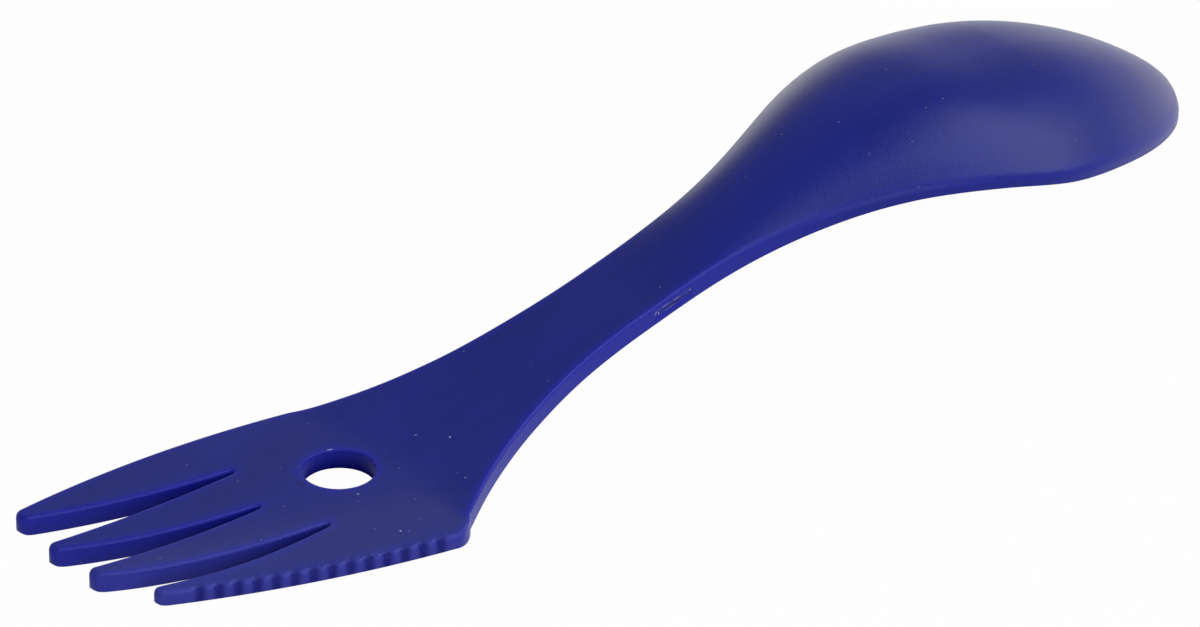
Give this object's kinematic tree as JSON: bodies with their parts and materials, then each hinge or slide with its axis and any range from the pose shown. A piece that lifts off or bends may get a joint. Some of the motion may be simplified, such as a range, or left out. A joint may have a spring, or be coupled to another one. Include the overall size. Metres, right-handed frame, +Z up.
{
  "type": "spork",
  "caption": "One-piece moulded spork with a spoon bowl, an arched waisted handle, four swept fork tines, a serrated knife edge and a round hanging hole",
  "frame": {"origin": "middle of the bounding box's underside, on the table that the spork lies on with its bowl face down", "axes": "+X from the tine tips to the bowl's tip, +Y towards the plain side of the fork, +Z up out of the bowl's back"},
  "size_m": [0.17, 0.039, 0.0209],
  "materials": {
    "moulded_plastic": "satin, fine moulded texture, one colour all through"
  },
  "bodies": {
    "root": {"spork": "moulded_plastic"}
  },
  "joints": []
}
